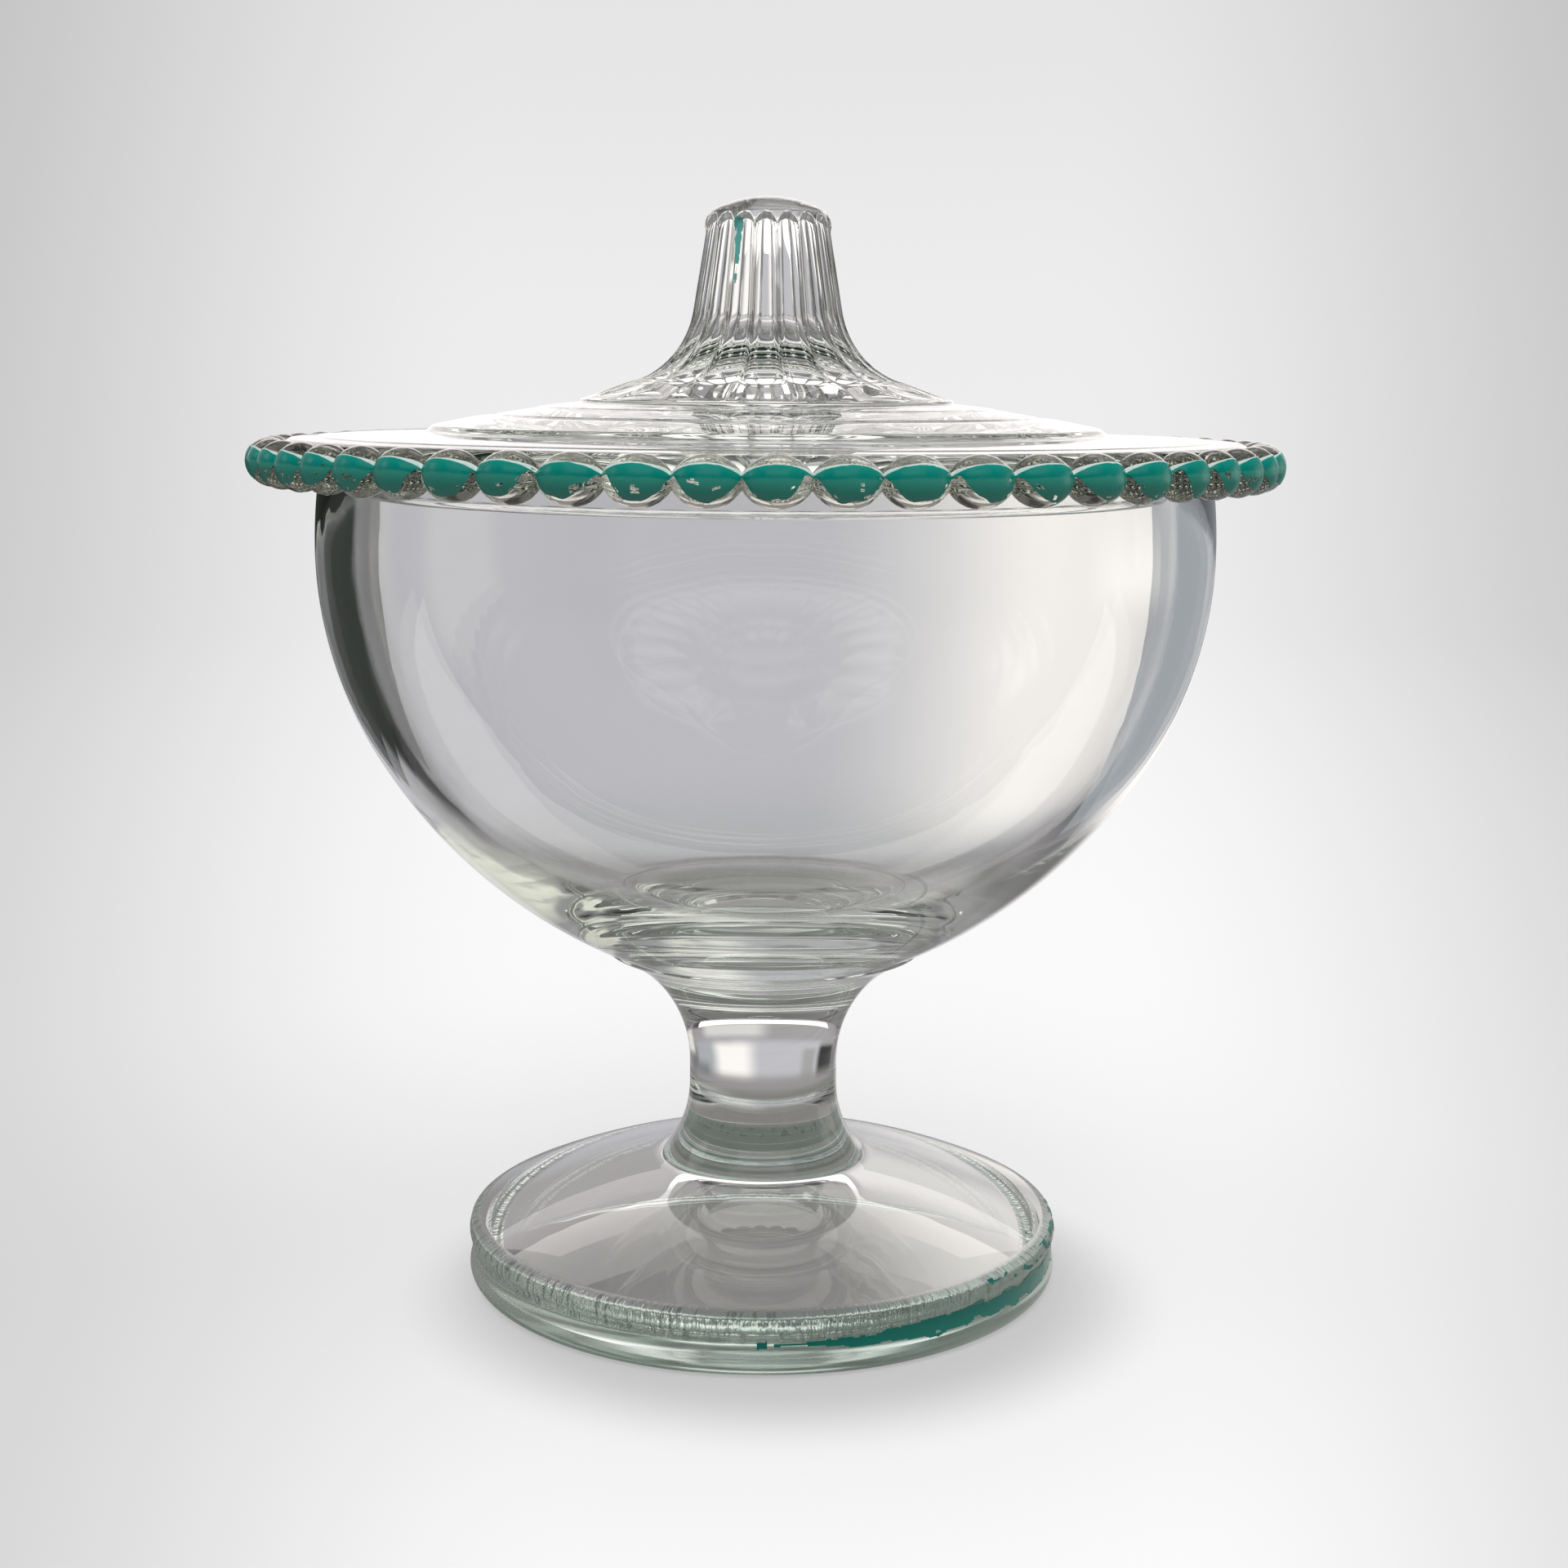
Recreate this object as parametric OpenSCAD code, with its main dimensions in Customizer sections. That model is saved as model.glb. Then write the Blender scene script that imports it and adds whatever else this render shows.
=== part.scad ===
// Covered candy dish in pressed clear glass. A plain round bowl stands on a waisted
// stem and a domed foot. The lid lifts off: it has a terraced top, a ring of beads
// round its rim, a fluted knob and a ring underneath that centres it in the bowl.
// Worn green enamel is left on the beads, on the knob and on the foot's edge.
// Millimetres, +Z up, origin under the middle of the foot. The front is -Y.

/* [Bowl] */
// Outer radius of the bowl at its widest
bowl_r = 61.4; // [60:0.1:62]
// Height of the widest part of the bowl
belly_z = 104; // [102:0.5:106]
// Height of the rim
rim_z = 115; // [114:0.5:118]
// Thickness of the wall at the rim
wall = 4.8; // [4:0.1:5]
// Radius of the inner curve, which sets how thick the bottom is
bowl_inner_arc_r = 52.5; // [50:0.5:54]
// Radius of the flat inside floor
floor_r = 20; // [16:0.5:22]

/* [Stem] */
// Radius of the step where the stem meets the bowl
collar_r = 22.3; // [21:0.1:24]
// Radius of the stem at its narrowest
waist_r = 10.5; // [9.5:0.1:11.5]
// Radius of the hollow curve above the waist
stem_upper_arc_r = 17.7; // [17:0.1:18]
// Radius of the hollow curve below the waist
stem_lower_arc_r = 16; // [14:0.5:24]

/* [Foot] */
// Outer radius of the foot
foot_r = 42.1; // [38:0.1:46]
// Radius of the domed top of the foot
foot_dome_r = 95; // [90:1:110]
// Radius of the two rolls round the edge of the foot
foot_roll_r = 2; // [1.6:0.1:2.2]
// Depth of the hollow under the foot
foot_hollow = 8; // [6:0.5:9]

/* [Lid] */
// Gap between the bowl's rim and the lid
seat_gap = 0.2; // [0.1:0.05:0.4]
// Thickness of the lid at its brim
brim_t = 3.6; // [3:0.1:4.5]
// Outer radius of the brim, where the beads begin
brim_r = 64.9; // [64:0.1:65.5]
// Depth of the ring that centres the lid in the bowl
seat_depth = 4.4; // [3.5:0.1:6]
// Radial play between that ring and the bowl
seat_play = 0.7; // [0.4:0.1:1.2]
// Height of the domed hollow under the lid
lid_rise = 4; // [2:0.2:4.5]

/* [Beads] */
// Number of beads round the rim
beads = 54; // [50:2:56]
// Radius of the ring through the middle of the beads
bead_ring_r = 67; // [66.5:0.1:67.5]
// Half the height of a bead
bead_h = 3.15; // [2.9:0.05:3.3]

/* [Knob] */
// Number of flutes round the knob
flutes = 18; // [14:2:20]
// Depth of the flutes
flute_d = 0.55; // [0.2:0.05:0.8]
// Radius of the petal skirt under the knob
skirt_r = 25.5; // [24:0.1:26]

/* [Enamel] */
// Thickness of the enamel
enamel_t = 0.12; // [0.08:0.01:0.2]
// Where the green on the foot begins, in degrees to the right of the front
foot_green_from = 2; // [0:1:40]
// Where the green on the foot ends
foot_green_to = 96; // [60:1:180]

/* [Hidden] */
// Air between the green dabs on the knob and the knob's own surface
film_gap = 0.025;

glass_tint = [0.86, 0.91, 0.89, 0.45];
enamel_green = [0.0, 0.42, 0.36];
smooth = 144;

// Bowl: an upper arc down to belly_turn degrees, then a flatter arc to the collar
upper_arc_r = 54.5;
lower_arc_r = 72;
belly_turn = 31;
rim_arc_r = 70;
rim_round = 0.9;
bowl_bottom_r = collar_r + 0.6;
upper_cx = bowl_r - upper_arc_r;
lower_cx = upper_cx - (lower_arc_r - upper_arc_r) * cos(belly_turn);
lower_cz = belly_z + (lower_arc_r - upper_arc_r) * sin(belly_turn);
bottom_turn = acos((bowl_bottom_r - lower_cx) / lower_arc_r);
bowl_bottom_z = lower_cz - lower_arc_r * sin(bottom_turn);
inner_r = bowl_r - wall;
inner_cx = inner_r - bowl_inner_arc_r;
floor_turn = acos((floor_r - inner_cx) / bowl_inner_arc_r);
floor_z = belly_z - bowl_inner_arc_r * sin(floor_turn);
rim_turn = asin((rim_z - rim_round - belly_z) / rim_arc_r);

// Stem: the waist is a short straight length between two hollow curves
upper_waist_z = 30.6;
lower_waist_z = 27.5;
foot_top_z = 16.9;
upper_stem_cx = waist_r + stem_upper_arc_r;
lower_stem_cx = waist_r + stem_lower_arc_r;
collar_turn = acos((upper_stem_cx - collar_r) / stem_upper_arc_r);
base_turn = asin((lower_waist_z - foot_top_z) / stem_lower_arc_r);
stem_base_r = lower_stem_cx - stem_lower_arc_r * cos(base_turn);

// Foot
foot_edge_h = 8.95;
roll_cx = foot_r - foot_roll_r;
upper_roll_z = foot_edge_h - foot_roll_r;
groove = 0.35;
groove_turn = acos((foot_roll_r - groove) / foot_roll_r);
dome_cz = foot_top_z - sqrt(pow(foot_dome_r, 2) - pow(stem_base_r, 2));
dome_edge_turn = asin((roll_cx + 0.8) / foot_dome_r);
base_ring_r = roll_cx - 3.6;
hollow_dome_r = pow(base_ring_r, 2) / (2 * foot_hollow) + foot_hollow / 2;
foot_green_low = 1.5;
foot_green_high = 4.4;

// Lid
seat_z = rim_z + seat_gap;
brim_z = seat_z + brim_t;
seat_outer_r = inner_r - seat_play;
seat_t = 3.3;
seat_inner_r = seat_outer_r - seat_t;
seat_round = 0.8;
hollow_arc_r = (pow(seat_inner_r, 2) + pow(lid_rise, 2)) / (2 * lid_rise);
hollow_turn = asin(seat_inner_r / hollow_arc_r);
// Terraces of the lid's top, from the brim inwards: radius, and height above the brim
terraces = [[64.3, 0], [61, 0.15], [60.7, 0.3], [46.8, 0.85], [46.1, 1.1], [45.5, 1.7],
            [44.8, 1.85], [39.4, 2.9], [37.1, 2.98], [36.8, 3.2], [31.4, 4.08],
            [31, 4.25], [skirt_r, 5]];
crown_z = brim_z + 5;

// Beads: a ring whose round section swells and narrows, so the beads run into each other
bead_z = seat_z + 0.6;
bead_turn = 1;
bead_pitch = 2 * PI * bead_ring_r / beads;
bead_reach = 1.065 * bead_pitch / 2;
bead_arc_r = (pow(bead_reach, 2) + pow(bead_h, 2)) / (2 * bead_h);
bead_columns = 10;
bead_steps = [-1, -0.7, -0.4, -0.1, 0.04, 0.17, 0.45, 0.72, 1];

// Knob: skirt, hollow flare, tapering barrel, rounded shoulder and a low cap
knob_turn = 8;
columns_per_flute = 6;
knob_columns = flutes * columns_per_flute;
skirt_lip = 0.25;
flare_cx = 22;
flare_z = crown_z + 14.1;
flare_r = 11.7;
flare_from = 250;
flare_to = 188;
barrel_rings = 8;
barrel_h = 11.3;
barrel_taper = 0.165;
shoulder_r = 2.66;
cap_arc_r = 16.3;
cap_h = 151.33 - 123.8;

// Points on an arc about (cx, cz), from angle a0 to a1, both ends included
function arc(cx, cz, r, a0, a1, n) =
    [for (i = [0:n]) let (a = a0 + (a1 - a0) * i / n) [cx + r * cos(a), cz + r * sin(a)]];

// Closed solid through a stack of loops that have the same number of points
module skin(loops) {
    n = len(loops[0]);
    m = len(loops);
    polyhedron(points = [for (l = loops) for (p = l) p], faces = concat(
        [[for (i = [0:n - 1]) i]],
        [[for (i = [n - 1:-1:0]) (m - 1) * n + i]],
        [for (j = [0:m - 2]) for (i = [0:n - 1]) [j * n + i, (j + 1) * n + i, j * n + (i + 1) % n]],
        [for (j = [0:m - 2]) for (i = [0:n - 1])
            [j * n + (i + 1) % n, (j + 1) * n + i, (j + 1) * n + (i + 1) % n]]));
}

// ---------- bowl ----------

module bowl() {
    rim_cx = bowl_r - rim_arc_r;
    rim_outer_r = rim_cx + rim_arc_r * cos(rim_turn);
    color(glass_tint) rotate_extrude($fn = smooth) polygon(concat(
        [[0, bowl_bottom_z]],
        arc(lower_cx, lower_cz, lower_arc_r, -bottom_turn, -belly_turn, 16),
        arc(upper_cx, belly_z, upper_arc_r, -belly_turn + 2, 0, 16),
        arc(rim_cx, belly_z, rim_arc_r, 1, rim_turn, 5),
        arc(rim_outer_r - rim_round, rim_z - rim_round, rim_round, 20, 90, 5),
        arc(inner_r + rim_round, rim_z - rim_round, rim_round, 90, 180, 6),
        arc(inner_cx, belly_z, bowl_inner_arc_r, 0, -floor_turn, 30),
        [[0, floor_z]]));
}

// ---------- stem ----------

module stem() {
    color(glass_tint) rotate_extrude($fn = smooth) polygon(concat(
        [[0, bowl_bottom_z], [0, foot_top_z]],
        arc(lower_stem_cx, lower_waist_z, stem_lower_arc_r, 180 + base_turn, 180, 12),
        arc(upper_stem_cx, upper_waist_z, stem_upper_arc_r, 180, 180 - collar_turn, 22),
        [[collar_r, bowl_bottom_z]]));
}

// ---------- foot ----------

// The rolled edge, from the upper roll down to the lower one
function foot_edge(grow) = concat(
    arc(roll_cx, upper_roll_z, foot_roll_r + grow, 64, -groove_turn, 10),
    arc(roll_cx, foot_roll_r, foot_roll_r + grow, groove_turn, -90, 12));

module foot_outline() {
    polygon(concat(
        [[0, foot_hollow], [0, foot_top_z]],
        arc(0, dome_cz, foot_dome_r, 90 - asin(stem_base_r / foot_dome_r), 90 - dome_edge_turn, 16),
        foot_edge(0),
        [[base_ring_r, 0]],
        arc(0, foot_hollow - hollow_dome_r, hollow_dome_r, 91 - asin(base_ring_r / hollow_dome_r), 89, 14)));
}

module foot() {
    color(glass_tint) rotate_extrude($fn = smooth) foot_outline();
}

// Green film on the front right of the foot's edge
module foot_enamel() {
    color(enamel_green) rotate([0, 0, foot_green_from - 90])
        rotate_extrude(angle = foot_green_to - foot_green_from, $fn = smooth)
            difference() {
                intersection() {
                    polygon(concat([[roll_cx, foot_edge_h]], foot_edge(enamel_t)));
                    translate([roll_cx, foot_green_low]) square([9, foot_green_high - foot_green_low]);
                }
                foot_outline();
            }
}

// ---------- lid ----------

module lid_cover() {
    color(glass_tint) rotate_extrude($fn = smooth) polygon(concat(
        [[0, crown_z], [0, seat_z + lid_rise]],
        arc(0, seat_z + lid_rise - hollow_arc_r, hollow_arc_r, 89, 90 - hollow_turn, 12),
        [[brim_r, seat_z], [brim_r, brim_z - 0.4]],
        [for (t = terraces) [t[0], brim_z + t[1]]]));
}

// Ring under the lid that drops inside the bowl
module lid_seat_ring() {
    color(glass_tint) rotate_extrude($fn = smooth) polygon(concat(
        [[seat_inner_r, seat_z]],
        arc(seat_inner_r + seat_round, seat_z - seat_depth + seat_round, seat_round, 180, 270, 5),
        arc(seat_outer_r - seat_round, seat_z - seat_depth + seat_round, seat_round, 270, 360, 5),
        [[seat_outer_r, seat_z]]));
}

// ---------- beads ----------

// Radius of the ring of beads at t mm along it from the middle of a bead
function bead_r(t) = sqrt(pow(bead_arc_r, 2) - t * t) - (bead_arc_r - bead_h);

// Section through the ring, c columns on from the middle of a bead: a circle from low_k to
// high_k of its points, whose ends are joined to the brim by a root
function bead_arc(c, low_k, high_k, grow = 0) =
    let (u = c / bead_columns - round(c / bead_columns),
         r = bead_r(bead_pitch * sin(180 * u) / 2),
         back = min(140, 172 - acos(min(1, (bead_ring_r - brim_r) / r))))
    [for (k = [low_k:high_k]) let (a = back * bead_steps[k])
        [bead_ring_r + (r + grow) * cos(a), bead_z + (r + grow) * sin(a)]];
function bead_root(c) =
    let (u = c / bead_columns - round(c / bead_columns),
         r = bead_r(bead_pitch * sin(180 * u) / 2),
         h = max(0.4, sqrt(max(0, r * r - pow(bead_ring_r - brim_r, 2)))))
    [[brim_r, bead_z + h], [brim_r, max(seat_z + 0.01, bead_z - h)]];

// Places a section's points at their column round the rim. Columns crowd towards the necks.
function bead_loop(c, points) =
    let (whole = round(c / bead_columns),
         u = c / bead_columns - whole,
         a = bead_turn + 360 * (whole + sin(180 * u) / 2) / beads)
    [for (p = points) [p[0] * sin(a), -p[0] * cos(a), p[1]]];

module lid_rim_beads() {
    loops = [for (c = [0:beads * bead_columns - 1])
        bead_loop(c, concat(bead_arc(c, 0, len(bead_steps) - 1), bead_root(c)))];
    n = len(loops[0]);
    m = len(loops);
    color(glass_tint) polyhedron(points = [for (l = loops) for (p = l) p], faces = concat(
        [for (j = [0:m - 1]) for (i = [0:n - 1]) [j * n + i, j * n + (i + 1) % n, (j + 1) % m * n + i]],
        [for (j = [0:m - 1]) for (i = [0:n - 1])
            [j * n + (i + 1) % n, (j + 1) % m * n + (i + 1) % n, (j + 1) % m * n + i]]));
}

// Green film round the outer face of each bead
module bead_enamel() {
    color(enamel_green) for (b = [0:beads - 1])
        skin([for (c = [2:-1:-2]) bead_loop(b * bead_columns + c, concat(
            bead_arc(b * bead_columns + c, 3, 5, enamel_t),
            [for (k = [2:-1:0]) bead_arc(b * bead_columns + c, 3, 5)[k]]))]);
}

// ---------- knob ----------

// Rings of the knob from the skirt upwards: radius, height, and share of the flute depth
function skirt_rings() = [for (i = [0:6]) let (u = 1 - i / 6)
    [flare_cx + flare_r * cos(flare_from) + u * (skirt_r - 0.1 - flare_cx - flare_r * cos(flare_from)),
     flare_z + flare_r * sin(flare_from)
        - pow(u, 1.25) * (flare_z + flare_r * sin(flare_from) - crown_z - skirt_lip),
     1 - 0.8 * u * u]];
function flare_rings() = [for (p = arc(flare_cx, flare_z, flare_r, flare_from - 6, flare_to, 8)) [p[0], p[1], 1]];
barrel_r = flare_cx + flare_r * cos(flare_to);
barrel_z = flare_z + flare_r * sin(flare_to);
function barrel_ring(i) = let (u = i / barrel_rings)
    [barrel_r - barrel_taper * barrel_h * u, barrel_z + barrel_h * u, 1];
shoulder_cx = barrel_r - barrel_taper * barrel_h - shoulder_r * cos(7);
shoulder_z = barrel_z + barrel_h;
shoulder_end = 65;
function shoulder_rings() = [for (i = [1:5]) let (a = 7 + (shoulder_end - 7) * i / 5)
    [shoulder_cx + shoulder_r * cos(a), shoulder_z + shoulder_r * (sin(a) - sin(7)), 1 - i / 5]];
cap_r = shoulder_cx + shoulder_r * cos(shoulder_end);
cap_z = shoulder_z + shoulder_r * (sin(shoulder_end) - sin(7));
function cap_rings() = [for (i = [1:4]) let (r = cap_r * (1 - i / 4.2))
    [r, cap_z + sqrt(pow(cap_arc_r, 2) - r * r) - sqrt(pow(cap_arc_r, 2) - cap_r * cap_r), 0]];
knob_rings = concat([[skirt_r, crown_z, 0], [skirt_r, crown_z + skirt_lip, 0]], skirt_rings(),
                    flare_rings(), [for (i = [1:barrel_rings]) barrel_ring(i)], shoulder_rings(), cap_rings());

// A point on the fluted surface, in column c of a ring, moved out by grow
function knob_point(ring, c, grow = 0) =
    let (a = knob_turn + 360 * c / knob_columns,
         dip = 1 - pow(cos(180 * c / columns_per_flute), 2),
         r = ring[0] - flute_d * ring[2] * sqrt(dip + 0.02) + grow)
    [r * sin(a), -r * cos(a), ring[1]];

module lid_knob() {
    color(glass_tint) skin([for (k = knob_rings) [for (c = [0:knob_columns - 1]) knob_point(k, c)]]);
}

// A dab of green on the barrel, from z0 to z1, that covers the columns next to column c
module dab(z0, z1, c) {
    lean = atan(barrel_taper);
    ring = barrel_ring(barrel_rings * (z0 - barrel_z) / barrel_h);
    seat = norm([knob_point(ring, c)[0], knob_point(ring, c)[1]]);
    under = [for (i = [-1:1]) let (p = knob_point(ring, c + i), a = 360 * i / knob_columns, r = norm([p[0], p[1]]))
        [r * sin(a), seat - r * cos(a)]];
    over = [for (i = [2:-1:0]) under[i] - [0, enamel_t]];
    rotate([0, 0, knob_turn + 360 * c / knob_columns]) translate([0, -seat - film_gap, z0]) rotate([-lean, 0, 0])
        linear_extrude(height = (z1 - z0) / cos(lean)) polygon(concat(under, over));
}

module knob_enamel() {
    color(enamel_green) {
        dab(142, 147.4, -11);
        dab(139.4, 140.5, -11);
    }
}

bowl();
stem();
foot();
foot_enamel();
lid_cover();
lid_seat_ring();
lid_rim_beads();
bead_enamel();
lid_knob();
knob_enamel();
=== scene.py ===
"""The looks of a covered candy dish in pressed clear glass with worn green enamel.

The CAD parts divide each glass body into sections. Light must not see those joins, so each
body is shown as one closed skin: dish_glass and lid_glass. The enamel is thin separate shells.
"""

import math

import bpy
import numpy as np
from mathutils import Matrix, Vector, noise


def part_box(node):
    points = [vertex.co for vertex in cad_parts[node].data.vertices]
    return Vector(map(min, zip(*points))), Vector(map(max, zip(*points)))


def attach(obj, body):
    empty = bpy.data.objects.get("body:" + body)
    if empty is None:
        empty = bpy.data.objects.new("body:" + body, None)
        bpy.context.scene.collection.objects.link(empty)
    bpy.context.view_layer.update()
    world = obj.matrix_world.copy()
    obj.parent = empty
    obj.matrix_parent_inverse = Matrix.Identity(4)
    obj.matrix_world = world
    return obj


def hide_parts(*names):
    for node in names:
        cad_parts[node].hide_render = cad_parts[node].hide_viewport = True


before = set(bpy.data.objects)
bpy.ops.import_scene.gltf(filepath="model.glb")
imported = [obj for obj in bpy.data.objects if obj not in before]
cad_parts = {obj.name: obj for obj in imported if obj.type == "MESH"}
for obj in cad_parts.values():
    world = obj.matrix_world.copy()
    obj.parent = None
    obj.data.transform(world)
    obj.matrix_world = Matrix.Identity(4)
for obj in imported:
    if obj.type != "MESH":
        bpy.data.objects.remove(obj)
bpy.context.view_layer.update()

MM = 0.001
DISH = "dish"
LID = "lid"


# ---------------------------------------------------------------- sizes, in millimetres

def box_mm(node):
    """The lower and upper corners of a CAD node's box."""
    low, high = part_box(node)
    return np.array(low) / MM, np.array(high) / MM


bowl_low, bowl_high = box_mm("bowl")
cover_low, cover_high = box_mm("lid_cover")
ring_low, ring_high = box_mm("lid_seat_ring")
stem_high = box_mm("stem")[1]
foot_high = box_mm("foot")[1]
bead_high = box_mm("lid_rim_beads")[1]
knob_high = box_mm("lid_knob")[1]

# Dish
BOWL_R = bowl_high[1]
RIM_Z = bowl_high[2]
BELLY_DROP = 11
BELLY_Z = RIM_Z - BELLY_DROP
BOWL_BOTTOM_Z = bowl_low[2]
COLLAR_R = stem_high[1]
FOOT_R = foot_high[1]
FOOT_TOP_Z = foot_high[2]
FOOT_ROLL = 2.0
FOOT_EDGE_Z = 8.95
FOOT_FILLET = 0.75
FOOT_HOLLOW = 8.0
BASE_RING_R = 36.5
GROOVE_DEPTH = 0.35
GROOVE_TURN = math.degrees(math.acos(1 - GROOVE_DEPTH / FOOT_ROLL))
WALL = 4.8
RIM_ROUND = 0.9
FLOOR_R = 20
WAIST_R = 10.5
LOWER_WAIST_Z = 27.5
UPPER_WAIST_Z = 30.6

# Radii of the dish's arcs, and where the bowl's two outer arcs meet, in degrees below its widest part
HOLLOW_ARC_R = 90
FOOT_DOME_R = 95
LOWER_STEM_R = 16
UPPER_STEM_R = 17.7
FLAT_ARC_R = 72
BELLY_ARC_R = 54.5
RIM_ARC_R = 70
INNER_ARC_R = 52.5
BELLY_TURN = 31

# Lid
SEAT_Z = cover_low[2]
BRIM_R = cover_high[1]
BRIM_T = 3.6
BRIM_Z = SEAT_Z + BRIM_T
CROWN_Z = cover_high[2]
SEAT_OUTER_R = ring_high[1]
SEAT_RING_T = 3.3
SEAT_INNER_R = SEAT_OUTER_R - SEAT_RING_T
SEAT_BOTTOM_Z = ring_low[2]
HOLLOW_RISE = 4.0

# Beads
BEADS = 54
BEAD_RING_R = 67.0
BEAD_H = bead_high[1] - BEAD_RING_R
BEAD_RISE = 0.6
BEAD_Z = SEAT_Z + BEAD_RISE
BEAD_TURN = math.radians(1)
BEAD_PITCH = 2 * math.pi * BEAD_RING_R / BEADS
BEAD_OVERLAP = 1.12
BEAD_REACH = BEAD_OVERLAP * BEAD_PITCH / 2
BEAD_ARC_R = (BEAD_REACH ** 2 + BEAD_H ** 2) / (2 * BEAD_H)
COLUMNS_PER_BEAD = 14

# Knob
FLUTES = 18
KNOB_TURN = math.radians(8)
KNOB_TOP_Z = knob_high[2]
SKIRT_R = knob_high[1]
FLUTE_DEPTH = 0.85
ARCH_TOP_Z = KNOB_TOP_Z - 2.3
ARCH_RISE = 2.2
ARCH_SLOPE = 0.9
FLARE_CX = 22
FLARE_CZ = CROWN_Z + 14.1
FLARE_ARC_R = 11.7
BARREL_H = 11.3
BARREL_TAPER = 0.165
SHOULDER_R = 2.66
CAP_ARC_R = 16.3


# ---------------------------------------------------------------- outlines and skins

def arc(cx, cz, r, start, end, steps):
    """Points on an arc about (cx, cz), from start to end in degrees."""
    angles = np.radians(np.linspace(start, end, steps + 1))
    return [(cx + r * math.cos(a), cz + r * math.sin(a)) for a in angles]


def rounded(corners, steps=5):
    """An outline through (r, z) or (r, z, fillet) corners, with each fillet drawn as a curve."""
    out = []
    for i, corner in enumerate(corners):
        here = Vector(corner[:2])
        if len(corner) < 3 or i in (0, len(corners) - 1):
            out.append(tuple(here))
            continue
        back = Vector(corners[i - 1][:2]) - here
        ahead = Vector(corners[i + 1][:2]) - here
        reach = min(corner[2], 0.48 * back.length, 0.48 * ahead.length)
        a = here + back.normalized() * reach
        b = here + ahead.normalized() * reach
        for t in np.linspace(0, 1, steps + 1):
            out.append(tuple(a * (1 - t) ** 2 + here * 2 * t * (1 - t) + b * t ** 2))
    return out


def divided(outline, longest):
    """The outline with no step longer than that."""
    out = [outline[0]]
    for a, b in zip(outline, outline[1:]):
        n = max(1, math.ceil(math.dist(a, b) / longest))
        out += [(a[0] + (b[0] - a[0]) * i / n, a[1] + (b[1] - a[1]) * i / n) for i in range(1, n + 1)]
    return out


def make_object(name, points, faces, material, body, replaced):
    """A piece on a body, with its points in millimetres, in place of the CAD nodes that it replaces."""
    mesh = bpy.data.meshes.new(name)
    mesh.from_pydata((np.asarray(points) * MM).tolist(), [], faces)
    mesh.validate()
    mesh.shade_smooth()
    mesh.set_sharp_from_angle(angle=math.radians(40))
    mesh.materials.append(material)
    made = bpy.data.objects.new(name, mesh)
    bpy.context.scene.collection.objects.link(made)
    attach(made, body)
    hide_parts(*replaced)


def skin(radii, heights, turns):
    """Closed skin through rings of points, with a pole at each end. radii and heights have a row
    for each ring and a column for each turn. The first and last rows are the poles."""
    rings, columns = radii.shape
    x = radii * np.sin(turns)
    y = -radii * np.cos(turns)
    points = np.stack([x, y, heights], axis=-1)
    inner = points[1:-1].reshape(-1, 3)
    poles = points[[0, -1], 0]
    vertices = np.concatenate([inner, poles])
    first_pole = len(inner)
    faces = []
    for ring in range(rings - 3):
        low = ring * columns
        high = low + columns
        for c in range(columns):
            d = (c + 1) % columns
            faces.append((low + c, low + d, high + d, high + c))
    last = (rings - 3) * columns
    for c in range(columns):
        d = (c + 1) % columns
        faces.append((first_pole, d, c))
        faces.append((first_pole + 1, last + c, last + d))
    return vertices, faces


# ---------------------------------------------------------------- dish

def foot_edge():
    """The foot's edge: a lower roll, a groove, an upper roll, and a small fillet into the dome."""
    roll_cx = FOOT_R - FOOT_ROLL
    return (
        arc(roll_cx, FOOT_ROLL, FOOT_ROLL, -90, GROOVE_TURN, 16)
        + arc(roll_cx, FOOT_EDGE_Z - FOOT_ROLL, FOOT_ROLL, -GROOVE_TURN, 20, 9)
        + arc(FOOT_R - 0.93, FOOT_EDGE_Z - 1.16, FOOT_FILLET, 12, 64, 8)
    )


def underside():
    """From the middle of the hollow under the foot out to the ring on which the foot stands."""
    edge = math.degrees(math.asin((BASE_RING_R - 1.2) / HOLLOW_ARC_R))
    return (
        arc(0, FOOT_HOLLOW - HOLLOW_ARC_R, HOLLOW_ARC_R, 90, 90 - edge, 16)
        + [(BASE_RING_R - 0.3, 0.3), (BASE_RING_R + 0.3, 0.02), (BASE_RING_R + 1, 0.0)]
    )


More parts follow.
